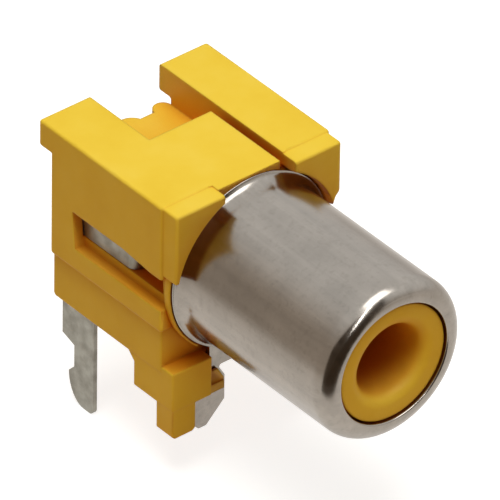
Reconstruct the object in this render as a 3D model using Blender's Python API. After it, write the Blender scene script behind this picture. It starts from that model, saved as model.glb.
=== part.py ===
# Right-angle board-mount phono jack: moulded housing, drawn ground shell and stamped signal contact.
# The barrel points along -Y, +Z is up and the origin is on the board under the barrel's axis.
from math import acos, cos, pi, sin, sqrt, tan

import bmesh
import bpy
from mathutils import Matrix, Vector

mm = 0.001

# Ground shell: a drawn tube with a rolled rim, a base flange and two solder lugs
axis_height = 6.5 * mm
barrel_radius = 4.15 * mm
shell_wall = 0.35 * mm
rim_front = -9.75 * mm
rim_round = 0.9 * mm
lip_width = 1.05 * mm
flange_reach = 0.41 * mm
flange_front = 0.5 * mm
flange_thickness = 0.37 * mm
base_fillet = 0.28 * mm
apron_drop = 0.7 * mm
lug_setback = 0.03 * mm
lug_thickness = 0.27 * mm
lug_neck_width = 0.53 * mm
lug_flare = 0.42 * mm
lug_slope = 0.68 * mm
lug_width = 1.82 * mm
lug_length = 1.87 * mm
lug_chamfer = 1.07 * mm
lug_corner = 0.3 * mm

# Housing: the body block, sized round the flange
cheek = 0.36 * mm
body_offset = 0.05 * mm
roof = 0.19 * mm
belly = 0.16 * mm
lower_front = 1.15 * mm
rear_wall = 8.95 * mm
waist_drop = 2.25 * mm
waist_inset = 0.2 * mm
rear_lip_reach = 0.86 * mm
rear_lip_thickness = 1.43 * mm
heel_chamfer = 0.12 * mm
edge_round = 0.12 * mm

# Housing: the front band whose two arms reach over the barrel
band_seam = 0.94 * mm
band_inset = 0.1 * mm
band_drop = 0.06 * mm
arm_tip_rise = 0.88 * mm
arm_cut_rise = 1.92 * mm
arm_cut_chamfer = 0.22 * mm
arm_cut_width = 0.52 * mm
arm_gap = 0.54 * mm
plate_front = 0.5 * mm

# Housing: the cuts in its top
pocket_left = -1.95 * mm
pocket_width = 4.13 * mm
pocket_front = 5.45 * mm
shelf_thickness = 1.73 * mm
groove_width = 0.52 * mm
rear_rib_depth = 0.48 * mm
narrow_rib_setback = 0.48 * mm
narrow_rib_radius = 0.5 * mm
wide_rib_setback = 1.6 * mm
wide_rib_radius = 0.8 * mm

# Housing: the side slot and the cavity for the contact
slot_below_axis = 1.04 * mm
slot_above_axis = 0.94 * mm
slot_lean = 0.2 * mm
slot_sag = 0.22 * mm
slot_sag_front = 1.7 * mm
slot_sag_rear = 3.8 * mm
side_wall = 0.58 * mm
cavity_front = 3.3 * mm
cavity_side_room = 0.4 * mm
cavity_head_room = 0.26 * mm
recess_front = 1.48 * mm
recess_width = 0.7 * mm

# Housing: the core inside the shell
core_setback = 0.17 * mm
nose_gap = 0.1 * mm
funnel_radius = 1.8 * mm
funnel_round = 0.6 * mm
bore_radius = 1.65 * mm
bore_depth = 5.4 * mm
chamber_radius = 2.3 * mm
chamber_step = 0.1 * mm
seat_margin = 0.26 * mm
seat_height = 0.12 * mm
core_root = 0.35 * mm

# Housing: the feet
foot_width = 2.3 * mm
foot_front = 0.3 * mm
foot_length = 2.84 * mm
foot_headroom = 0.43 * mm
foot_heel = 0.45 * mm
peg_width = 1.36 * mm
peg_depth = 1.23 * mm
peg_length = 1.58 * mm
peg_chamfer = 0.15 * mm
web_front = 0.4 * mm
web_setback = 0.2 * mm
web_chamfer = 0.35 * mm
web_slant = 0.62 * mm
sill_height = 0.5 * mm
draft = 0.03 * mm

# Signal contact: a formed strip with two tines and a solder pin
contact_thickness = 0.22 * mm
contact_below_axis = 0.55 * mm
contact_above_axis = 0.7 * mm
contact_setback = 0.2 * mm
bend_radius = 0.4 * mm
crossbar_gap = 0.25 * mm
tine_root = 1.8 * mm
tine_throat = 1.6 * mm
tine_mouth = 1.85 * mm
tine_flare_length = 1.1 * mm
tine_end_gap = 0.35 * mm
tine_height = 1.0 * mm
riser_width = 1.39 * mm
leg_width = 2.28 * mm
pin_shoulder = -0.4 * mm
pin_width = 1.41 * mm
pin_neck_bottom = -1.9 * mm
pin_barb = 0.39 * mm
pin_barb_bottom = -2.31 * mm
pin_tip = -3.92 * mm
pin_tip_round = 0.3 * mm

# Fits and helper lengths
running_gap = 0.05 * mm
seat_gap = 0.05 * mm
overlap = 0.3 * mm
beyond = 3.0 * mm
turn_steps = 72
arc_steps = 5

# Places that follow from the sizes above
flange_radius = barrel_radius + flange_reach
flange_back = flange_front + flange_thickness
lip_radius = barrel_radius - lip_width
core_face = rim_front + core_setback
core_seat = flange_back + seat_gap
body_half = flange_radius + cheek
body_left, body_right = body_offset - body_half, body_offset + body_half
body_top = axis_height + flange_radius + roof
body_bottom = axis_height - flange_radius - belly
waist_height = axis_height - waist_drop
arm_tip_height = axis_height + arm_tip_rise
pocket_right = pocket_left + pocket_width
contact_rear = rear_wall - contact_setback
riser_front = contact_rear - riser_width
slot_rear = riser_front - slot_lean
slot_bottom = axis_height - slot_below_axis
slot_top = axis_height + slot_above_axis
wall_inside = body_left + side_wall
cavity_top = slot_top + cavity_head_room
pocket_floor = cavity_top + shelf_thickness
foot_outer = body_half - waist_inset - body_offset - draft
foot_inner = foot_outer - foot_width
foot_top = axis_height - sqrt(flange_radius**2 - foot_inner**2) - foot_headroom
neck_outer = foot_inner - seat_gap
apron_half_width = neck_outer - lug_neck_width
apron_bottom = axis_height - flange_radius - apron_drop
lug_inner_edge = apron_half_width - lug_flare
lug_outer_edge = lug_inner_edge + lug_width
lug_shoulder = apron_bottom - lug_slope
lug_back = flange_back - lug_setback
lug_front = lug_back - lug_thickness
web_inner = apron_half_width - web_setback
web_top = apron_bottom
crossbar_centre = cavity_front + crossbar_gap + contact_thickness / 2
leg_front = contact_rear - leg_width
strip_plane = wall_inside + contact_thickness / 2
strip_bottom, strip_top = axis_height - contact_below_axis, axis_height + contact_above_axis
cavity_bottom = strip_bottom - running_gap
riser_foot = slot_bottom - overlap


def clear_scene():
    for item in list(bpy.data.objects):
        bpy.data.objects.remove(item, do_unlink=True)


def make_material(name, colour, roughness, metallic):
    material = bpy.data.materials.new(name)
    material.use_nodes = True
    shader = material.node_tree.nodes["Principled BSDF"]
    shader.inputs["Base Color"].default_value = (*colour, 1.0)
    shader.inputs["Roughness"].default_value = roughness
    shader.inputs["Metallic"].default_value = metallic
    material.diffuse_color = (*colour, 1.0)
    return material


def object_from(name, shape):
    bmesh.ops.remove_doubles(shape, verts=shape.verts, dist=1e-4 * mm)
    bmesh.ops.recalc_face_normals(shape, faces=shape.faces)
    mesh = bpy.data.meshes.new(name)
    shape.to_mesh(mesh)
    shape.free()
    item = bpy.data.objects.new(name, mesh)
    bpy.context.scene.collection.objects.link(item)
    return item


# Puts a point of a flat outline into space: the two outline axes keep their X, Y, Z order.
def placed(axis, point, along):
    first, second = point
    return {
        "X": (along, first, second),
        "Y": (first, along, second),
        "Z": (first, second, along),
    }[axis]


def prism(name, outline, axis, low, high, rounding=0.0):
    shape = bmesh.new()
    near, far = [[shape.verts.new(placed(axis, point, along)) for point in outline] for along in (low, high)]
    shape.faces.new(near)
    shape.faces.new(far)
    for i in range(len(outline)):
        shape.faces.new((near[i - 1], near[i], far[i], far[i - 1]))
    bmesh.ops.recalc_face_normals(shape, faces=shape.faces)
    if rounding:
        sharp = [e for e in shape.edges if e.calc_face_angle() > pi / 6]
        bmesh.ops.bevel(shape, geom=sharp, offset=rounding, segments=2, profile=0.5, affect="EDGES")
        bmesh.ops.triangulate(shape, faces=shape.faces)
    return object_from(name, shape)


def box(name, low, high, rounding=0.0):
    outline = [(low[0], low[1]), (high[0], low[1]), (high[0], high[1]), (low[0], high[1])]
    return prism(name, outline, "Z", low[2], high[2], rounding)


# Turns a profile of (radius, y) points about the barrel's axis: a closed loop, or an open line with flat ends.
def turned(name, profile, closed=True):
    shape = bmesh.new()
    verts = [shape.verts.new((radius, y, axis_height)) for radius, y in profile]
    following = verts[1:] + verts[:1] if closed else verts[1:]
    edges = [shape.edges.new(pair) for pair in zip(verts, following)]
    bmesh.ops.spin(
        shape,
        geom=verts + edges,
        cent=(0, 0, axis_height),
        axis=(0, 1, 0),
        angle=2 * pi,
        steps=turn_steps,
        use_merge=True,
    )
    if not closed:
        bmesh.ops.holes_fill(shape, edges=shape.edges)
    return object_from(name, shape)


# Points of an arc about a centre, from one angle to another, in degrees.
def arc(centre, radius, start, end, steps=arc_steps):
    turns = [(start + (end - start) * i / steps) * pi / 180 for i in range(steps + 1)]
    return [(centre[0] + radius * cos(t), centre[1] + radius * sin(t)) for t in turns]


def mirrored(outline):
    return [(-x, z) for x, z in reversed(outline)]


def combine(target, tool, operation):
    modifier = target.modifiers.new(operation.title() + " " + tool.name, "BOOLEAN")
    modifier.operation = operation
    modifier.solver = "EXACT"
    modifier.object = tool
    tool.hide_render = True
    tool.display_type = "WIRE"


def join(target, *tools):
    for tool in tools:
        combine(target, tool, "UNION")


def cut(target, *tools):
    for tool in tools:
        combine(target, tool, "DIFFERENCE")


# Rounds each inner corner of a path of (x, y) points to the bend radius.
def rounded_path(points, radius):
    path = [Vector(points[0])]
    for before, corner, after in zip(points, points[1:], points[2:]):
        corner = Vector(corner)
        into = (corner - Vector(before)).normalized()
        out = (Vector(after) - corner).normalized()
        turn = acos(max(-1.0, min(1.0, into.dot(out))))
        setback = radius * tan(turn / 2)
        side = 1 if into.x * out.y - into.y * out.x > 0 else -1
        centre = corner - into * setback + Vector((-into.y, into.x)) * side * radius
        for step in range(arc_steps + 1):
            spun = Matrix.Rotation(side * turn * step / arc_steps, 2)
            path.append(centre + spun @ (corner - into * setback - centre))
    return path + [Vector(points[-1])]


# The outline of a strip of even thickness that follows a path.
def strip_outline(path, thickness):
    left, right = [], []
    for i, point in enumerate(path):
        into = (point - path[i - 1]).normalized() if i else None
        out = (path[i + 1] - point).normalized() if i + 1 < len(path) else None
        into, out = into or out, out or into
        mean = (into + out).normalized()
        reach = thickness / 2 / mean.dot(into)
        side = Vector((-mean.y, mean.x)) * reach
        left.append(tuple(point + side))
        right.append(tuple(point - side))
    return left + right[::-1]


# The tube's section: the flange and base fillet outside, the rolled rim in front, the plain wall inside.
def shell_profile():
    inner_radius = barrel_radius - shell_wall
    inner_round = rim_round - shell_wall
    rim_centre_y = rim_front + rim_round
    rim_centre_r = barrel_radius - rim_round
    profile = [(inner_radius, flange_back), (flange_radius, flange_back), (flange_radius, flange_front)]
    fillet = arc((barrel_radius + base_fillet, flange_front - base_fillet), base_fillet, 90, 180)
    profile += fillet
    profile += arc((rim_centre_r, rim_centre_y), rim_round, 0, -90, 8)
    profile += [(lip_radius, rim_front), (lip_radius, rim_front + shell_wall)]
    profile += arc((rim_centre_r, rim_centre_y), inner_round, -90, 0)
    return profile


# The apron and one lug in front view, on the right-hand side of the axis.
def apron_outline():
    neck_top = axis_height - sqrt(barrel_radius**2 - neck_outer**2)
    half = [
        (apron_half_width, apron_bottom),
        (lug_inner_edge, lug_shoulder),
        (lug_inner_edge, lug_chamfer - lug_length),
        (lug_inner_edge + lug_chamfer, -lug_length),
        (lug_outer_edge - lug_corner, -lug_length),
        (lug_outer_edge, lug_corner - lug_length),
        (lug_outer_edge, lug_shoulder),
        (neck_outer, lug_shoulder + (lug_outer_edge - neck_outer) / 2),
        (neck_outer, neck_top),
    ]
    return half + [(0, axis_height - barrel_radius)] + mirrored(half)


def make_shell(metal):
    shell = turned("ground_shell", shell_profile())
    join(shell, prism("apron", apron_outline(), "Y", lug_front, lug_back))
    finish(shell, metal)
    return shell


# The body in side view, with the rear lip.
def body_outline():
    lip_rear = rear_wall + rear_lip_reach
    lip_under = body_top - rear_lip_thickness
    return [
        (band_seam, waist_height),
        (band_seam, body_top),
        (lip_rear, body_top),
        (lip_rear, lip_under),
        (rear_wall, lip_under),
        (rear_wall, waist_height),
    ]


def lower_outline():
    return [
        (lower_front, body_bottom),
        (lower_front, waist_height + overlap),
        (rear_wall, waist_height + overlap),
        (rear_wall, body_bottom + heel_chamfer),
        (rear_wall - heel_chamfer, body_bottom),
    ]


# The front band in front view, with the cut corner of the right arm.
def band_outline():
    left, right = body_left + band_inset, body_right - band_inset
    top = body_top - band_drop
    cut_top_height = axis_height + arm_cut_rise
    return [
        (left, top),
        (left, arm_tip_height),
        (right - arm_cut_width, arm_tip_height),
        (right - arm_cut_chamfer, cut_top_height - arm_cut_chamfer),
        (right, cut_top_height),
        (right, top),
    ]


def make_body():
    body = prism("housing", body_outline(), "X", body_left, body_right, edge_round)
    low, high = body_left + waist_inset, body_right - waist_inset
    lower = prism("lower_body", lower_outline(), "X", low, high, edge_round / 2)
    band = prism("front_band", band_outline(), "Y", 0, band_seam + overlap, edge_round)
    join(body, lower, band)
    return body


# The notch leaves the plate between the arms a little behind their fronts.
def cut_top(body):
    above = body_top + beyond
    notch = box("notch", (pocket_left, -beyond, axis_height), (pocket_right, band_seam + overlap / 2, above))
    plate = box(
        "top_plate",
        (pocket_left - overlap / 2, plate_front, axis_height),
        (pocket_right + overlap / 2, band_seam + overlap, body_top),
    )
    left_side = box("plate_left_side", (body_left - beyond, -beyond, 0), (pocket_left, band_seam, above))
    right_side = box("plate_right_side", (pocket_right, -beyond, 0), (body_right + beyond, band_seam, above))
    cut(plate, left_side, right_side)
    cut(body, notch)
    join(body, plate)
    rear = rear_wall + rear_lip_reach + beyond
    pocket = box("pocket", (pocket_left, pocket_front, pocket_floor), (pocket_right, rear, above))
    groove_left = pocket_right - groove_width
    groove = box("groove", (groove_left, -beyond, pocket_floor), (pocket_right, pocket_front + overlap, above))
    cut(body, pocket, groove)


def add_rear_ribs(body):
    for name, x, radius in (
        ("narrow_rib", pocket_right - narrow_rib_setback, narrow_rib_radius),
        ("wide_rib", pocket_left + wide_rib_setback, wide_rib_radius),
    ):
        centre = (x, rear_wall + rear_rib_depth - radius)
        join(body, prism(name, arc(centre, radius, 0, 345, 23), "Z", cavity_top + overlap, pocket_floor))


# The recess for the flange: its mouth follows the arms' wider arc and closes in to the flange.
def cut_flange_recess(body):
    mouth = barrel_radius + arm_gap
    snug = flange_radius + running_gap
    floor = core_seat + seat_height
    profile = [(mouth, -beyond), (mouth, 0), (snug, flange_front), (snug, floor)]
    cut(body, turned("flange_recess", profile, closed=False))


# The side slot in side view. Its upper edge comes down a little towards the front.
def slot_outline():
    return [
        (-beyond, slot_bottom),
        (slot_rear, slot_bottom),
        (slot_rear + slot_lean, slot_top),
        (slot_sag_rear, slot_top),
        (slot_sag_front, slot_top - slot_sag),
        (-beyond, slot_top - slot_sag),
    ]


def cut_contact_ways(body):
    left = wall_inside - running_gap
    strip_inside = wall_inside + contact_thickness + 2 * running_gap
    rear = rear_wall + beyond
    cavity_right = tine_root + contact_thickness / 2 + cavity_side_room
    cut(
        body,
        prism("side_slot", slot_outline(), "X", body_left - beyond, wall_inside),
        box("cavity", (left, cavity_front, cavity_bottom), (cavity_right, rear, cavity_top)),
        box("contact_recess", (left, recess_front, cavity_bottom), (left + recess_width, cavity_front + overlap, slot_top)),
        box("riser_slit", (left, riser_front - running_gap, body_bottom), (strip_inside, rear, cavity_bottom + overlap)),
        box("leg_slit", (left, leg_front - running_gap, -beyond), (strip_inside, rear + overlap, riser_foot + running_gap)),
    )


# The core in section. Outside: the seat disc behind the flange, the long boss and the nose that shows in the lip.
# Inside, from the front: a rounded funnel, the close bore, and the wider chamber where the tines flex.
def core_profile():
    seat_radius = flange_radius - seat_margin
    root = lower_front + core_root
    boss_radius = barrel_radius - shell_wall - running_gap
    nose_radius = lip_radius - nose_gap
    nose_base = rim_front + shell_wall + running_gap
    bore_end = core_face + bore_depth
    return [
        (seat_radius, root),
        (seat_radius, core_seat),
        (boss_radius, core_seat),
        (boss_radius, rim_front + rim_round),
        (nose_radius, nose_base + (boss_radius - nose_radius) / 3),
        (nose_radius, core_face),
        *arc((funnel_radius + funnel_round, core_face + funnel_round), funnel_round, 270, 180),
        (bore_radius, core_face + 2 * funnel_round + funnel_radius - bore_radius),
        (bore_radius, bore_end),
        (chamber_radius, bore_end + chamber_radius - bore_radius),
        (chamber_radius, root),
    ]


# The chamber's rear end, cut through the body from the core's root into the cavity.
def chamber_outline():
    half_step = 180 / turn_steps
    return arc((0, axis_height), chamber_radius + chamber_step, half_step, 360 - half_step, turn_steps - 1)


# A foot in side view, with its slanted heel under the body.
def foot_outline():
    rear = foot_front + foot_length
    return [
        (foot_front, 0),
        (rear, 0),
        (rear, body_bottom - foot_heel),
        (rear + foot_heel, body_bottom),
        (rear + foot_heel, body_bottom + overlap),
        (lower_front + overlap, body_bottom + overlap),
        (lower_front + overlap, foot_top),
        (foot_front, foot_top),
    ]


# A peg in front view, on the right-hand side.
def peg_outline():
    outer = foot_outer - draft
    inner = outer - peg_width
    return [
        (inner, overlap),
        (inner, peg_chamfer - peg_length),
        (inner + peg_chamfer, -peg_length),
        (outer - peg_chamfer, -peg_length),
        (outer, peg_chamfer - peg_length),
        (outer, overlap),
    ]


# The thin wall in front of a lug, with its cut corner, on the right-hand side. The cut stays within the wall.
def web_outline():
    slant = min(web_slant, (web_top - draft) / 1.5)
    return [
        (foot_inner + overlap, draft),
        (web_inner, draft),
        (web_inner, web_top - slant),
        (web_inner + web_chamfer, web_top),
        (foot_inner + overlap, web_top),
    ]


# The ledge along the foot of the web, level with the foot's front.
def sill_outline():
    return [
        (foot_inner + overlap, 2 * draft),
        (web_inner + draft, 2 * draft),
        (web_inner + draft, sill_height),
        (foot_inner + overlap, sill_height),
    ]


# The way for a lug, up through the foot and behind the web.
def lug_way_outline():
    outer = lug_outer_edge + running_gap
    inner = web_inner - overlap
    top = lug_shoulder + (outer - neck_outer) / 2 + running_gap
    return [(outer, -beyond), (outer, top), (inner, top), (inner, -beyond)]


def add_feet(body):
    for name, side in (("left", -1), ("right", 1)):
        low, high = sorted((side * foot_outer, side * foot_inner))

        def standing(kind, outline, front, back, rounding=0.0):
            return prism(name + kind, mirrored(outline) if side < 0 else outline, "Y", front, back, rounding)

        join(
            body,
            prism(name + "_foot", foot_outline(), "X", low, high, edge_round / 2),
            standing("_peg", peg_outline(), foot_front + draft, foot_front + peg_depth, edge_round / 2),
            standing("_web", web_outline(), web_front, lug_front - seat_gap),
            standing("_sill", sill_outline(), foot_front + draft, web_front + draft),
        )
        cut(body, standing("_lug_way", lug_way_outline(), lug_front - seat_gap, lug_back + seat_gap))


def make_housing(plastic):
    body = make_body()
    cut_top(body)
    add_rear_ribs(body)
    cut_flange_recess(body)
    cut_contact_ways(body)
    cut(body, prism("chamber", chamber_outline(), "Y", flange_front, cavity_front + overlap))
    join(body, turned("core", core_profile()))
    add_feet(body)
    finish(body, plastic)
    return body


# The solder pin in side view: a narrow riser from the strip, a shouldered leg, a neck, and a barb that curves
# down to a rounded tip.
def leg_outline():
    rear = leg_front + pin_width
    middle = leg_front + pin_width / 2
    corner = arc((leg_front + pin_tip_round, pin_tip + pin_tip_round), pin_tip_round, 180, 270)
    curve = arc((0, 0), 1, -90, 0, 2 * arc_steps)
    reach, drop = rear + pin_barb - middle, pin_barb_bottom - pin_tip
    return [
        (riser_front, strip_top),
        (riser_front, riser_foot),
        (leg_front, riser_foot),
        *corner,
        *[(middle + reach * across, pin_barb_bottom + drop * down) for across, down in curve],
        (rear, pin_neck_bottom),
        (rear, pin_shoulder - (contact_rear - rear) / 3),
        (contact_rear, pin_shoulder),
        (contact_rear, strip_top),
    ]


# A tine in plan: from the crossbar forward to its throat, then flared out to guide the plug's pin.
def tine_path(side, start):
    tip = core_face + bore_depth + chamber_radius - bore_radius + tine_end_gap
    throat = tip + tine_flare_length
    return [(side * tine_root, start), (side * tine_throat, throat), (side * tine_mouth, tip)]


def make_contact(metal):
    corner = (tine_root, crossbar_centre)
    end = (tine_root, crossbar_centre - bend_radius - overlap)
    path = rounded_path([(strip_plane, riser_front + overlap), (strip_plane, crossbar_centre), corner, end], bend_radius)
    contact = prism("signal_contact", strip_outline(path, contact_thickness), "Z", strip_bottom, strip_top)
    near, far = strip_plane - contact_thickness / 2, strip_plane + contact_thickness / 2
    join(contact, prism("leg", leg_outline(), "X", near, far))
    low, high = axis_height - tine_height / 2, axis_height + tine_height / 2
    for name, side, start in (("left_tine", -1, crossbar_centre), ("right_tine", 1, crossbar_centre - bend_radius)):
        path = rounded_path(tine_path(side, start), bend_radius * 4)
        join(contact, prism(name, strip_outline(path, contact_thickness), "Z", low, high))
    finish(contact, metal)
    return contact


def finish(item, material):
    item.data.materials.append(material)
    item.data.shade_smooth()
    item.data.set_sharp_from_angle(angle=pi / 6)


def main():
    clear_scene()
    plastic = make_material("yellow_plastic", (0.86, 0.58, 0.045), 0.42, 0.0)
    shell_metal = make_material("nickel_plate", (0.62, 0.59, 0.55), 0.3, 1.0)
    pin_metal = make_material("tin_plate", (0.6, 0.59, 0.56), 0.4, 1.0)
    make_housing(plastic)
    make_shell(shell_metal)
    make_contact(pin_metal)


main()
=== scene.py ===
from math import cos, pi, radians, sin, sqrt

import bmesh
import bpy
import numpy as np
from mathutils import Matrix, Vector


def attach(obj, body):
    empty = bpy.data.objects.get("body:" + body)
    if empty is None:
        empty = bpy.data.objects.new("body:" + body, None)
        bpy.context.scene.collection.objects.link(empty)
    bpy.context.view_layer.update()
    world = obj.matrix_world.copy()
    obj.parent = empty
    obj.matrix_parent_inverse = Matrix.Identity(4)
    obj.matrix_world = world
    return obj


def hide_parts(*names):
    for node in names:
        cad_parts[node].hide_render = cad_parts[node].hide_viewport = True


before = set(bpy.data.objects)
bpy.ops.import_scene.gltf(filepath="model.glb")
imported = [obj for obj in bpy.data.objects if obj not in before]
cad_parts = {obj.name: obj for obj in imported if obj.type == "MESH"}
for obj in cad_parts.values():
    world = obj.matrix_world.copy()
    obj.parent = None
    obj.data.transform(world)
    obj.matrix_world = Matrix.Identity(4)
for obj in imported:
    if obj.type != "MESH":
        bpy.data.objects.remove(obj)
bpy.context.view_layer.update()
mm = 0.001
white = (1.0, 1.0, 1.0, 1.0)


# sRGB hex to linear: each channel over 255, then the straight foot below 0.04045 or the 2.4 power above it.
def hexColour(code):
    channels = np.array([int(code[i:i + 2], 16) for i in (1, 3, 5)]) / 255
    linear = np.where(channels <= 0.04045, channels / 12.92, ((channels + 0.055) / 1.055) ** 2.4)
    return (*linear.tolist(), 1.0)


# Adds one node, sets its properties and fixed inputs, and links the inputs that are given as sockets.
def addNode(tree, kind, inputs=None, **settings):
    node = tree.nodes.new(kind)
    for name, value in settings.items():
        setattr(node, name, value)
    for name, value in (inputs or {}).items():
        if isinstance(value, bpy.types.NodeSocket):
            tree.links.new(value, node.inputs[name])
        else:
            node.inputs[name].default_value = value
    return node


# A material with an empty tree of nodes, and that tree.
def newMaterial(name):
    material = bpy.data.materials.new(name)
    material.use_nodes = True
    tree = material.node_tree
    tree.nodes.clear()
    return material, tree


# Gives a ramp its stops, which are (position, hex colour) pairs.
def setStops(ramp, stops):
    elements = ramp.color_ramp.elements
    while len(elements) < len(stops):
        elements.new(0.5)
    for element, (position, code) in zip(elements, stops):
        element.position = position
        element.color = hexColour(code)


mouldedPolyesterLook = {
    "tints": ((0.3, "#EFCB3C"), (0.5, "#F2D043"), (0.72, "#F4D44D")),    # along the flow marks, deep to pale
    # painted shade: the deep orange put into recesses in place of the light that reaches them only off the yellow
    # itself
    "recessShadeColour": "#D4720A",    # the deep orange that the yellow turns where light only reaches it off itself
    "recessReach": 4.5 * mm,
    "recessSpan": {"From Min": 0.12, "From Max": 0.93},    # how open a place is: all orange, then not at all
    "recessSamples": 8,
    "roughness": (0.39, 0.51),
    "specular": 0.15,
    "mottle": 2.6 * mm,           # soft flow marks from the mould
    "mottleNoise": {"Detail": 3.0, "Roughness": 0.55},
    "grain": 0.16 * mm,           # spark-eroded mould texture, drawn coarser than its real 0.03 mm
    "grainNoise": {"Detail": 2.0, "Roughness": 0.6},
    "grainDepth": 0.011 * mm,
    "grainStrength": 0.6,
    "edgeSoftness": 0.17 * mm,
    "edgeSamples": 6,
}


# Glass-filled polyester, injection moulded in a spark-eroded mould: an even satin skin with a fine tooth.
# The bright yellow is very slightly uneven where the melt flowed, and every arris is a little soft.
# Shade is painted into its recesses: the yellow turns deep orange where ambient occlusion finds a place shut in.
def makeMouldedPolyester():
    look = mouldedPolyesterLook
    material, tree = newMaterial("mouldedPolyester")
    place = addNode(tree, "ShaderNodeTexCoord").outputs["Object"]
    flow = addNode(tree, "ShaderNodeTexNoise", {"Vector": place, "Scale": 1 / look["mottle"],
                                                **look["mottleNoise"]})
    tint = addNode(tree, "ShaderNodeValToRGB", {"Fac": flow.outputs["Fac"]})
    setStops(tint, look["tints"])
    # Painted shade: ambient occlusion measures how shut in a place is, and the base colour turns that far towards
    # the deep orange.
    corners = addNode(tree, "ShaderNodeAmbientOcclusion", {"Distance": look["recessReach"]},
                      samples=look["recessSamples"])
    depth = addNode(tree, "ShaderNodeMapRange", {"Value": corners.outputs["AO"], **look["recessSpan"],
                                                 "To Min": 1.0, "To Max": 0.0})
    base = addNode(tree, "ShaderNodeMix", {"Factor": depth.outputs["Result"], 6: tint.outputs["Color"],
                                           7: hexColour(look["recessShadeColour"])}, data_type="RGBA")
    tooth = addNode(tree, "ShaderNodeTexNoise", {"Vector": place, "Scale": 1 / look["grain"],
                                                 **look["grainNoise"]})
    soft = addNode(tree, "ShaderNodeBevel", {"Radius": look["edgeSoftness"]}, samples=look["edgeSamples"])
    bump = addNode(tree, "ShaderNodeBump", {"Height": tooth.outputs["Fac"], "Distance": look["grainDepth"],
                                            "Strength": look["grainStrength"], "Normal": soft.outputs["Normal"]})
    sheen = addNode(tree, "ShaderNodeMapRange", {"Value": flow.outputs["Fac"], "To Min": look["roughness"][0],
                                                 "To Max": look["roughness"][1]})
    shader = addNode(tree, "ShaderNodeBsdfPrincipled",
                     {"Base Color": base.outputs[2], "Roughness": sheen.outputs["Result"],
                      "Specular IOR Level": look["specular"], "Normal": bump.outputs["Normal"]})
    addNode(tree, "ShaderNodeOutputMaterial", {"Surface": shader.outputs["BSDF"]})
    return material


satinNickelLook = {
    "tints": ((0.35, "#98928A"), (0.65, "#ABA49B")),
    "roughness": (0.16, 0.25),
    "roughnessSpan": {"From Min": 0.3, "From Max": 0.7},    # the part of the pattern that changes the gloss
    "streak": 0.45 * mm,       # across: the drawing marks of the die
    "streakRun": 14.0 * mm,    # along the barrel
    "streakNoise": {"Scale": 1.0, "Detail": 4.0, "Roughness": 0.6},
    "streakDepth": 0.001 * mm,
    "streakStrength": 0.5,
    "cloud": 1.9 * mm,         # slight unevenness of the plating
    "cloudNoise": {"Detail": 3.0, "Roughness": 0.5},
    "speckColour": "#7A746B",
    "speck": 0.3 * mm,         # small dull spots, where the plating is thin or stained
    "speckNoise": {"Detail": 3.0, "Roughness": 0.7},
    "speckSpan": {"From Min": 0.52, "From Max": 0.74},
    "speckShare": 0.28,        # how far a spot goes towards its own colour
}


# Nickel plate on drawn steel: a warm grey metal with a satin reflection.
# Faint die marks run the barrel's length, the plating's gloss is a little cloudy, and small spots are duller.
# The mean of the marks and the clouds sets tint and gloss.
def makeSatinNickel():
    look = satinNickelLook
    material, tree = newMaterial("satinNickel")
    place = addNode(tree, "ShaderNodeTexCoord").outputs["Object"]
    along = addNode(tree, "ShaderNodeMapping",
                    {"Vector": place, "Scale": (1 / look["streak"], 1 / look["streakRun"], 1 / look["streak"])})
    marks = addNode(tree, "ShaderNodeTexNoise", {"Vector": along.outputs["Vector"], **look["streakNoise"]})
    cloud = addNode(tree, "ShaderNodeTexNoise", {"Vector": place, "Scale": 1 / look["cloud"],
                                                 **look["cloudNoise"]})
    mixed = addNode(tree, "ShaderNodeMath", {0: marks.outputs["Fac"], 1: cloud.outputs["Fac"]}, operation="ADD")
    half = addNode(tree, "ShaderNodeMath", {0: mixed.outputs["Value"], 1: 0.5}, operation="MULTIPLY")
    tint = addNode(tree, "ShaderNodeValToRGB", {"Fac": half.outputs["Value"]})
    setStops(tint, look["tints"])
    gloss = addNode(tree, "ShaderNodeMapRange", {"Value": half.outputs["Value"], **look["roughnessSpan"],
                                                 "To Min": look["roughness"][0], "To Max": look["roughness"][1]})
    spots = addNode(tree, "ShaderNodeTexNoise", {"Vector": place, "Scale": 1 / look["speck"],
                                                 **look["speckNoise"]})
    dull = addNode(tree, "ShaderNodeMapRange", {"Value": spots.outputs["Fac"], **look["speckSpan"],
                                                "To Max": look["speckShare"]})
    spotted = addNode(tree, "ShaderNodeMix", {"Factor": dull.outputs["Result"], 6: tint.outputs["Color"],
                                              7: hexColour(look["speckColour"])}, data_type="RGBA")
    bump = addNode(tree, "ShaderNodeBump", {"Height": marks.outputs["Fac"], "Distance": look["streakDepth"],
                                            "Strength": look["streakStrength"]})
    shader = addNode(tree, "ShaderNodeBsdfPrincipled",
                     {"Base Color": spotted.outputs[2], "Metallic": 1.0, "Roughness": gloss.outputs["Result"],
                      "Normal": bump.outputs["Normal"]})
    addNode(tree, "ShaderNodeOutputMaterial", {"Surface": shader.outputs["BSDF"]})
    return material


dullTinLook = {
    "tints": ((0.35, "#8A877D"), (0.65, "#A09E94")),
    "roughness": (0.46, 0.33),    # in the dull patches, and in the bright ones
    "roughnessSpan": {"From Min": 0.3, "From Max": 0.7},
    "cloud": 0.7 * mm,
    "cloudNoise": {"Detail": 4.0, "Roughness": 0.6},
    "scuff": 0.12 * mm,
    "scuffNoise": {"Detail": 2.0, "Roughness": 0.5},
    "scuffDepth": 0.003 * mm,
    "scuffStrength": 0.5,
}


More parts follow.
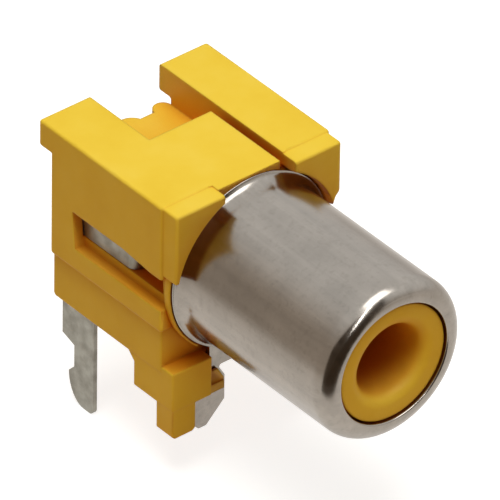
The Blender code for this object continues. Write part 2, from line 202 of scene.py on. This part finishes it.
# Tin plate on stamped phosphor bronze: a soft grey metal, duller in patches, with fine scuffs from the press.
def makeDullTin():
    look = dullTinLook
    material, tree = newMaterial("dullTin")
    place = addNode(tree, "ShaderNodeTexCoord").outputs["Object"]
    cloud = addNode(tree, "ShaderNodeTexNoise", {"Vector": place, "Scale": 1 / look["cloud"],
                                                 **look["cloudNoise"]})
    scuff = addNode(tree, "ShaderNodeTexNoise", {"Vector": place, "Scale": 1 / look["scuff"],
                                                 **look["scuffNoise"]})
    tint = addNode(tree, "ShaderNodeValToRGB", {"Fac": cloud.outputs["Fac"]})
    setStops(tint, look["tints"])
    gloss = addNode(tree, "ShaderNodeMapRange", {"Value": cloud.outputs["Fac"], **look["roughnessSpan"],
                                                 "To Min": look["roughness"][0], "To Max": look["roughness"][1]})
    bump = addNode(tree, "ShaderNodeBump", {"Height": scuff.outputs["Fac"], "Distance": look["scuffDepth"],
                                            "Strength": look["scuffStrength"]})
    shader = addNode(tree, "ShaderNodeBsdfPrincipled",
                     {"Base Color": tint.outputs["Color"], "Metallic": 1.0, "Roughness": gloss.outputs["Result"],
                      "Normal": bump.outputs["Normal"]})
    addNode(tree, "ShaderNodeOutputMaterial", {"Surface": shader.outputs["BSDF"]})
    return material


polyester = makeMouldedPolyester()
nickel = makeSatinNickel()
tin = makeDullTin()
print("materials made")


# Faces of a grid of rows and columns: each square takes a point, the one below it, and their neighbours in the row.
# A closed direction wraps round to its first line.
def gridFaces(rows, columns, closedRows, closedColumns):
    i, j = np.meshgrid(np.arange(rows if closedRows else rows - 1),
                       np.arange(columns if closedColumns else columns - 1), indexing="ij")
    nextRow, nextColumn = (i + 1) % rows, (j + 1) % columns
    corners = [i * columns + j, nextRow * columns + j, nextRow * columns + nextColumn, i * columns + nextColumn]
    return np.stack(corners, axis=-1).reshape(-1, 4).tolist()


# Faces of a grid whose rows are closed rings, with one flat face over its first ring and one over its last.
def cappedFaces(points):
    rows, columns = points.shape[:2]
    ends = [list(range(columns)), list(range((rows - 1) * columns, rows * columns))]
    return gridFaces(rows, columns, False, True) + ends


# Makes a shape an object at the origin, on the frame's one body, smooth but for edges sharper than the angle.
def finishPiece(mesh, shape, material, edgeAngle):
    shape.to_mesh(mesh)
    shape.free()
    mesh.materials.append(material)
    mesh.shade_smooth()
    mesh.set_sharp_from_angle(angle=radians(edgeAngle))
    piece = bpy.data.objects.new(mesh.name, mesh)
    bpy.context.scene.collection.objects.link(piece)
    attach(piece, "root")
    return piece


gridShape = {
    "weld": 0.0001 * mm,
    "edgeAngle": 40,       # degrees
}


# A piece from a grid of points and its faces: points that meet are welded, and the faces turned outwards.
def gridPiece(name, points, faces, material):
    mesh = bpy.data.meshes.new(name)
    mesh.from_pydata(points.reshape(-1, 3).tolist(), [], faces)
    shape = bmesh.new()
    shape.from_mesh(mesh)
    bmesh.ops.remove_doubles(shape, verts=shape.verts, dist=gridShape["weld"])
    bmesh.ops.recalc_face_normals(shape, faces=shape.faces)
    return finishPiece(mesh, shape, material, gridShape["edgeAngle"])


# An outline of (across, along, radius) corners, each rounded by an arc of its radius that is tangent to both sides.
# A corner with no radius, or one that turns by less than the straight angle in radians, stays a point.
def roundedOutline(corners, arcSteps, straight=0.001):
    corners = np.array(corners, float)
    points, radii = corners[:, :2], corners[:, 2]
    before, after = np.roll(points, 1, axis=0), np.roll(points, -1, axis=0)
    runs = []
    for corner, previous, following, radius in zip(points, before, after, radii):
        into = (corner - previous) / np.linalg.norm(corner - previous)
        out = (following - corner) / np.linalg.norm(following - corner)
        turn = np.arccos(np.clip(into @ out, -1, 1))
        if radius == 0 or turn < straight:
            runs.append(corner[None])
            continue
        setback = radius * np.tan(turn / 2)
        side = 1 if into[0] * out[1] - into[1] * out[0] > 0 else -1
        centre = corner - into * setback + side * radius * np.array([-into[1], into[0]])
        start = corner - into * setback - centre
        angles = side * turn * np.linspace(0, 1, arcSteps + 1)
        spun = np.stack([start[0] * np.cos(angles) - start[1] * np.sin(angles),
                         start[0] * np.sin(angles) + start[1] * np.cos(angles)], axis=-1)
        runs.append(centre + spun)
    return np.concatenate(runs)


mergedShape = {
    "weld": 0.002 * mm,
    "flatness": 1.0,       # degrees between faces that belong to one flat
    "edgeAngle": 32,
}


# A node's own solid, made one closed mesh again: its flats are made whole and its rounds shaded smooth.
def mergedPiece(name, node, material):
    shape = bmesh.new()
    shape.from_mesh(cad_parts[node].data)
    bmesh.ops.remove_doubles(shape, verts=shape.verts, dist=mergedShape["weld"])
    bmesh.ops.dissolve_limit(shape, angle_limit=radians(mergedShape["flatness"]),
                             verts=shape.verts, edges=shape.edges)
    piece = finishPiece(bpy.data.meshes.new(name), shape, material, mergedShape["edgeAngle"])
    flats = piece.modifiers.new("flats", "WEIGHTED_NORMAL")    # wide flats stay flat beside their small rounds
    flats.keep_sharp = True
    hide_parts(node)


mergedPiece("mouldedHousing", "housing", polyester)
mergedPiece("stampedContact", "signal_contact", tin)
print("housing and contact made")

shellShape = {
    "axisHeight": 6.5 * mm,
    "radius": 4.15 * mm,
    "wall": 0.35 * mm,
    "mouth": -9.75 * mm,
    "mouthRound": 0.9 * mm,
    "lipRadius": 3.1 * mm,
    "lipRound": 0.09 * mm,
    "flangeRadius": 4.56 * mm,
    "flangeFront": 0.5 * mm,
    "flangeBack": 0.87 * mm,
    "flangeRound": 0.06 * mm,
    "baseFlare": (0.37 * mm, 0.75 * mm),    # out from the barrel, and along it
    "flareSteps": 14,
    "arcSteps": 12,
    "turnSteps": 288,
}


# A profile of (radius, y) points turned about the barrel's axis: x = r cos a, z = axis + r sin a.
# A side of -1 mirrors it in x.
def turnedPoints(profile, angles, side=1):
    angles = angles[:, None]
    radii, along = profile[:, 0][None], profile[:, 1][None]
    return np.stack([side * radii * np.cos(angles), along + 0 * angles,
                     shellShape["axisHeight"] + radii * np.sin(angles)], axis=-1)


# The shell's section is a closed line: flange, a base flared along a quarter ellipse, barrel, rolled mouth, lip,
# and the plain wall inside. It is turned once round the axis.
def makeShell():
    s = shellShape
    inner = s["radius"] - s["wall"]
    out, reach = s["baseFlare"]
    turn = np.linspace(pi / 2, 0, s["flareSteps"] + 1)
    flare = [(s["radius"] + out * (1 - cos(t)), s["flangeFront"] - reach * (1 - sin(t)), 0) for t in turn]
    profile = roundedOutline([
        (inner, s["flangeBack"], 0),
        (s["flangeRadius"], s["flangeBack"], s["flangeRound"]),
        (s["flangeRadius"], s["flangeFront"], s["flangeRound"]),
        *flare,
        (s["radius"], s["mouth"], s["mouthRound"]),
        (s["lipRadius"], s["mouth"], s["lipRound"]),
        (s["lipRadius"], s["mouth"] + s["wall"], 0),
        (inner, s["mouth"] + s["wall"], s["mouthRound"] - s["wall"]),
    ], s["arcSteps"])
    points = turnedPoints(profile, np.linspace(0, 2 * pi, s["turnSteps"], endpoint=False))
    faces = gridFaces(len(points), len(profile), True, True)
    piece = gridPiece("drawnShell", points, faces, nickel)
    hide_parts("ground_shell")


makeShell()
print("shell made")


# A plate with rounded edges: the outline drawn in by e (1 - sin t) and carried from front to back, with flat ends.
def platePoints(outline, front, back, edgeRound, arcSteps=4):
    ahead, behind = np.roll(outline, -1, axis=0) - outline, outline - np.roll(outline, 1, axis=0)
    ahead, behind = [v / np.linalg.norm(v, axis=1, keepdims=True) for v in (ahead, behind)]
    mean = ahead + behind
    mean /= np.linalg.norm(mean, axis=1, keepdims=True)
    inward = np.stack([-mean[:, 1], mean[:, 0]], axis=-1) / np.sum(mean * ahead, axis=1, keepdims=True)
    area = np.sum(outline[:, 0] * np.roll(outline[:, 1], -1) - np.roll(outline[:, 0], -1) * outline[:, 1])
    inward *= np.sign(area)
    t = np.linspace(0, pi / 2, arcSteps + 1)
    drawn = np.concatenate([edgeRound * (1 - np.sin(t)), edgeRound * (1 - np.sin(t[::-1]))])
    along = np.concatenate([front + edgeRound * (1 - np.cos(t)), back - edgeRound * (1 - np.cos(t[::-1]))])
    flat = outline[None] + drawn[:, None, None] * inward[None]
    depth = np.broadcast_to(along[:, None], flat.shape[:2])
    return np.stack([flat[..., 0], depth, flat[..., 1]], axis=-1)


lugShape = {
    "front": 0.57 * mm,
    "back": 0.84 * mm,
    "edgeRound": 0.05 * mm,
    "neckOuter": 2.29 * mm,
    "neckRound": 0.05 * mm,
    "barrelGap": 0.05 * mm,    # from the barrel's outside to the plate's upper edge
    "apronHalf": 1.76 * mm,
    "apronBottom": 1.24 * mm,
    "apronRound": 0.12 * mm,
    "innerEdge": 1.34 * mm,
    "outerEdge": 3.16 * mm,
    "shoulder": 0.56 * mm,
    "bottom": -1.87 * mm,
    "cut": 1.07 * mm,          # the long slant on the inside of a lug's end
    "corner": 0.3 * mm,        # the short slant on its outside
    "cornerRound": 0.1 * mm,
    "arcSteps": 5,
}


# The apron under the barrel and its two lugs, one plate. The right half of its outline is mirrored to the left.
def makeLugs():
    g = lugShape
    axis, around = shellShape["axisHeight"], shellShape["radius"] + g["barrelGap"]
    right = [
        (g["apronHalf"], g["apronBottom"], g["apronRound"]),
        (g["innerEdge"], g["shoulder"], g["apronRound"]),
        (g["innerEdge"], g["bottom"] + g["cut"], g["cornerRound"]),
        (g["innerEdge"] + g["cut"], g["bottom"], g["cornerRound"]),
        (g["outerEdge"] - g["corner"], g["bottom"], g["cornerRound"]),
        (g["outerEdge"], g["bottom"] + g["corner"], g["cornerRound"]),
        (g["outerEdge"], g["shoulder"], g["cornerRound"]),
        (g["neckOuter"], g["shoulder"] + (g["outerEdge"] - g["neckOuter"]) / 2, g["neckRound"]),
        (g["neckOuter"], axis - sqrt(around ** 2 - g["neckOuter"] ** 2), 0),
    ]
    left = [(-x, z, r) for x, z, r in reversed(right)]
    outline = roundedOutline([*right, (0, axis - around, 0), *left], g["arcSteps"])
    points = platePoints(outline, g["front"], g["back"], g["edgeRound"])
    piece = gridPiece("groundLugs", points, cappedFaces(points), nickel)
    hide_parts("ground_shell")


makeLugs()
print("lugs made")

collarShape = {
    "inner": 4.6 * mm,
    "outer": 4.69 * mm,
    "front": 0.56 * mm,
    "back": 0.96 * mm,
    "edgeRound": 0.03 * mm,
    "arcSteps": 3,
    "from": 165,           # degrees round the barrel's axis, from the right-hand side over the top
    "to": 230,
    "turnSteps": 60,
}


# The thin wall of the flange's seat, one sector on each side: a rounded rectangle of (radius, y) turned about the
# barrel's axis. The angles are those of the left sector, and the right one is its mirror image.
def makeCollar(name, side):
    c = collarShape
    section = roundedOutline([
        (c["inner"], c["back"], c["edgeRound"]),
        (c["outer"], c["back"], c["edgeRound"]),
        (c["outer"], c["front"], c["edgeRound"]),
        (c["inner"], c["front"], c["edgeRound"]),
    ], c["arcSteps"])
    points = turnedPoints(section, np.radians(np.linspace(c["from"], c["to"], c["turnSteps"] + 1)), -side)
    piece = gridPiece(name, points, cappedFaces(points), polyester)
    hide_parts("housing")


for collarName, collarSide in (("leftCollar", -1), ("rightCollar", 1)):
    makeCollar(collarName, collarSide)
print("collar made")

footRootShape = {
    "front": 0.92 * mm,
    "back": 1.35 * mm,
    "edgeRound": 0.03 * mm,
    "outer": 2.42 * mm,
    "inner": 1.85 * mm,
    "top": 2.1 * mm,
    "innerBottom": 1.7 * mm,
    "outerBottom": 1.45 * mm,
    "cornerRound": 0.05 * mm,
    "arcSteps": 3,
}


# The small block where a foot's root meets the body, behind the lug's neck: it closes the slit beside the neck.
# It is a plate of four corners with rounded edges.
def makeFootRoot(name, side):
    r = footRootShape
    outline = roundedOutline([
        (side * r["outer"], r["outerBottom"], r["cornerRound"]),
        (side * r["inner"], r["innerBottom"], r["cornerRound"]),
        (side * r["inner"], r["top"], r["cornerRound"]),
        (side * r["outer"], r["top"], r["cornerRound"]),
    ], r["arcSteps"])
    points = platePoints(outline, r["front"], r["back"], r["edgeRound"])
    piece = gridPiece(name, points, cappedFaces(points), polyester)
    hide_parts("housing")


for rootName, rootSide in (("leftFootRoot", -1), ("rightFootRoot", 1)):
    makeFootRoot(rootName, rootSide)
print("foot roots made")

stageLook = {
    "paperColour": "#C2C2C0",
    "bounceColour": "#CCA672",    # what the paper and its warm table give back to the object
    "paperWhite": 0.82,
    "roomColour": "#BCB0A4",      # the room past the paper, seen only in the metal: it fades in with distance
    "roomNear": 4 * mm,
    "roomFar": 60 * mm,
    "roomInPaper": 0.25,          # its share close to the object
    "brightSide": 0.45,           # the right-hand side is brighter: how far x counts beside the height
    "sideFrom": -30 * mm,         # over this stretch of x the paper goes from the dim side to the bright one
    "sideTo": 60 * mm,
    "roomFoot": -0.05,            # height plus side up to which the room stays full
    "roomTop": 0.8,               # height plus side at which the room has faded into the white above
    "floorHeight": -3.935 * mm,
    "floorHalf": 400 * mm,
    "skyColour": "#FFE1B6",
    "skyForObject": 0.19,
}


# The rays that show a background: the camera's own, and those that metal mirrors or glass lets through.
def sightRays(tree):
    ray = addNode(tree, "ShaderNodeLightPath")
    first = addNode(tree, "ShaderNodeMath", {0: ray.outputs["Is Camera Ray"], 1: ray.outputs["Is Glossy Ray"]},
                    operation="MAXIMUM")
    seen = addNode(tree, "ShaderNodeMath", {0: first.outputs["Value"], 1: ray.outputs["Is Transmission Ray"]},
                   operation="MAXIMUM")
    return ray, seen


# Matt paper: pale, with no gloss. The camera sees it white, with the object's shadow kept, and so does the metal,
# whose view of it fades into the dimmer room with the distance from the object and towards the left.
def makePaper():
    look = stageLook
    material, tree = newMaterial("whitePaper")
    ray, seen = sightRays(tree)
    matt = addNode(tree, "ShaderNodeBsdfDiffuse", {"Color": hexColour(look["paperColour"])})
    bounce = addNode(tree, "ShaderNodeBsdfDiffuse", {"Color": hexColour(look["bounceColour"])})
    glow = addNode(tree, "ShaderNodeEmission", {"Color": white, "Strength": look["paperWhite"]})
    both = addNode(tree, "ShaderNodeAddShader", {0: matt.outputs["BSDF"], 1: glow.outputs["Emission"]})
    place = addNode(tree, "ShaderNodeTexCoord").outputs["Object"]
    away = addNode(tree, "ShaderNodeVectorMath", {0: place}, operation="LENGTH")
    fade = addNode(tree, "ShaderNodeMapRange", {"Value": away.outputs["Value"], "From Min": look["roomNear"],
                                                "From Max": look["roomFar"], "To Min": look["roomInPaper"]})
    parts = addNode(tree, "ShaderNodeSeparateXYZ", {"Vector": place})
    side = addNode(tree, "ShaderNodeMapRange", {"Value": parts.outputs["X"], "From Min": look["sideFrom"],
                                                "From Max": look["sideTo"], "To Min": 1.0,
                                                "To Max": 1 - look["brightSide"]})
    dim = addNode(tree, "ShaderNodeMath", {0: fade.outputs["Result"], 1: side.outputs["Result"]},
                  operation="MULTIPLY")
    far = addNode(tree, "ShaderNodeMath", {0: dim.outputs["Value"], 1: ray.outputs["Is Glossy Ray"]},
                  operation="MULTIPLY")
    room = addNode(tree, "ShaderNodeEmission", {"Color": hexColour(look["roomColour"]), "Strength": 1.0})
    view = addNode(tree, "ShaderNodeMixShader", {"Fac": far.outputs["Value"], 1: both.outputs["Shader"],
                                                 2: room.outputs["Emission"]})
    pick = addNode(tree, "ShaderNodeMixShader", {"Fac": seen.outputs["Value"], 1: bounce.outputs["BSDF"],
                                                 2: view.outputs["Shader"]})
    addNode(tree, "ShaderNodeOutputMaterial", {"Surface": pick.outputs["Shader"]})
    return material


# One flat face with four corners as a stage object.
def makeStageCard(name, corners, material):
    mesh = bpy.data.meshes.new(name)
    mesh.from_pydata(np.array(corners).tolist(), [], [(0, 1, 2, 3)])
    mesh.materials.append(material)
    card = bpy.data.objects.new(name, mesh)
    bpy.context.scene.collection.objects.link(card)
    return card


# A square of paper under the solder pin's tip.
def makeFloor():
    h, z = stageLook["floorHalf"], stageLook["floorHeight"]
    makeStageCard("floor", [(-h, -h, z), (h, -h, z), (h, h, z), (-h, h, z)], makePaper())


# White for the camera, mirrors and glass, and a plain dim sky for the light that falls on the object.
# In the metal the white fades into the dimmer room towards the horizon and the left: height plus a share of x.
def makeSky():
    look = stageLook
    world = bpy.data.worlds.new("studio")
    world.use_nodes = True
    tree = world.node_tree
    tree.nodes.clear()
    ray, seen = sightRays(tree)
    direction = addNode(tree, "ShaderNodeTexCoord")    # in a world, Generated is the direction of the sky
    parts = addNode(tree, "ShaderNodeSeparateXYZ", {"Vector": direction.outputs["Generated"]})
    height = addNode(tree, "ShaderNodeMath", {0: parts.outputs["X"], 1: look["brightSide"],
                                              2: parts.outputs["Z"]}, operation="MULTIPLY_ADD")
    rise = addNode(tree, "ShaderNodeMapRange", {"Value": height.outputs["Value"], "From Min": look["roomFoot"],
                                                "From Max": look["roomTop"]}, interpolation_type="SMOOTHSTEP")
    level = addNode(tree, "ShaderNodeMath", {0: rise.outputs["Result"], 1: ray.outputs["Is Camera Ray"]},
                    operation="MAXIMUM")
    shade = addNode(tree, "ShaderNodeMix", {"Factor": level.outputs["Value"], 6: hexColour(look["roomColour"]),
                                            7: white}, data_type="RGBA")
    backdrop = addNode(tree, "ShaderNodeBackground", {"Color": shade.outputs[2], "Strength": 1.0})
    sky = addNode(tree, "ShaderNodeBackground", {"Color": hexColour(look["skyColour"]),
                                                 "Strength": look["skyForObject"]})
    pick = addNode(tree, "ShaderNodeMixShader", {"Fac": seen.outputs["Value"], 1: sky.outputs["Background"],
                                                 2: backdrop.outputs["Background"]})
    addNode(tree, "ShaderNodeOutputWorld", {"Surface": pick.outputs["Shader"]})
    bpy.context.scene.world = world


# A dark card, as photographers hold beside bright metal: it gives the rolled rim its dark band.
darkCardShape = {
    "colour": "#61574D",
    # mm: it leans in front of the barrel, to the left
    "corners": ((-18.2, -15, -3.5), (8.1, -28.8, -3.5), (23.4, -64.1, 57.8), (-55, -37.9, 29.3)),
}

# A narrow strip of light, as between a studio's flags: it draws the fine bright line in the rim's dark band.
lightStripShape = {
    "strength": 15.0,
    # mm: it hangs between the barrel and the dark card
    "corners": ((-0.4, -23.9, 26.0), (0.9, -24.3, 25.6), (-5.3, -30.6, 14.6), (-6.6, -30.2, 15.0)),
}


# A card that only the metal mirrors: the camera doesn't see it, and it neither lights nor shades the object.
def makeMirroredCard(name, corners, kind, inputs):
    material, tree = newMaterial(name)
    surface = addNode(tree, kind, inputs)
    addNode(tree, "ShaderNodeOutputMaterial", {"Surface": surface.outputs[0]})
    card = makeStageCard(name, np.array(corners) * mm, material)
    card.visible_camera = False
    card.visible_diffuse = False
    card.visible_shadow = False


lampAim = (0, 0, 5)    # mm: the object's middle
lampShapes = {
    "overhead": {"place": (-20, -30, 240), "size": (150, 150), "energy": 0.49, "mirrored": False},
    "window": {"place": (56, -149, 266), "size": (170, 170), "energy": 0.33, "mirrored": True},
}


# A soft light that faces the object's middle. It either lights the object or is mirrored in its gloss.
def makeLamp(name, place, size, energy, mirrored):
    lamp = bpy.data.lights.new(name, "AREA")
    lamp.shape = "RECTANGLE"
    lamp.size, lamp.size_y = [side * mm for side in size]
    lamp.energy = energy
    holder = bpy.data.objects.new(name, lamp)
    where, aim = Vector(place) * mm, Vector(lampAim) * mm
    holder.matrix_world = Matrix.Translation(where) @ (where - aim).to_track_quat("Z", "Y").to_matrix().to_4x4()
    holder.visible_glossy = mirrored
    holder.visible_diffuse = not mirrored
    bpy.context.scene.collection.objects.link(holder)


cameraFit = {
    "azimuth": -39.913,      # degrees, as are the next two
    "elevation": 36.139,
    "roll": 0.893,
    "aim": (0, -1, 6),       # mm, as are the next four
    "distance": 600,
    "sideways": -0.9625,
    "upwards": 1.5053,
    "lens": 951.7,
    "sensor": 36,
    "clip": (0.1, 10),       # metres
}


# The camera looks along the photograph's line of sight from far away, turned by the photograph's small roll.
def makeCamera():
    c = cameraFit
    az, el, roll = [radians(c[k]) for k in ("azimuth", "elevation", "roll")]
    back = Vector((sin(az) * cos(el), -cos(az) * cos(el), sin(el)))
    level = Vector((cos(az), sin(az), 0))
    upright = back.cross(level)
    right = cos(roll) * level + sin(roll) * upright
    up = cos(roll) * upright - sin(roll) * level
    eye = (Vector(c["aim"]) + c["distance"] * back + c["sideways"] * right + c["upwards"] * up) * mm
    turn = Matrix((right, up, back)).transposed().to_4x4()
    camera = bpy.data.cameras.new("photoCamera")
    camera.lens = c["lens"]
    camera.sensor_width = c["sensor"]
    camera.clip_start, camera.clip_end = c["clip"]
    holder = bpy.data.objects.new("photoCamera", camera)
    holder.matrix_world = Matrix.Translation(eye) @ turn
    bpy.context.scene.collection.objects.link(holder)
    bpy.context.scene.camera = holder


makeFloor()
makeMirroredCard("darkCard", darkCardShape["corners"], "ShaderNodeBsdfDiffuse",
                 {"Color": hexColour(darkCardShape["colour"])})
makeMirroredCard("lightStrip", lightStripShape["corners"], "ShaderNodeEmission",
                 {"Color": white, "Strength": lightStripShape["strength"]})
makeSky()
for lampName, lampSizes in lampShapes.items():
    makeLamp(lampName, **lampSizes)
makeCamera()
bpy.context.scene.view_settings.view_transform = "Standard"
print("stage made")
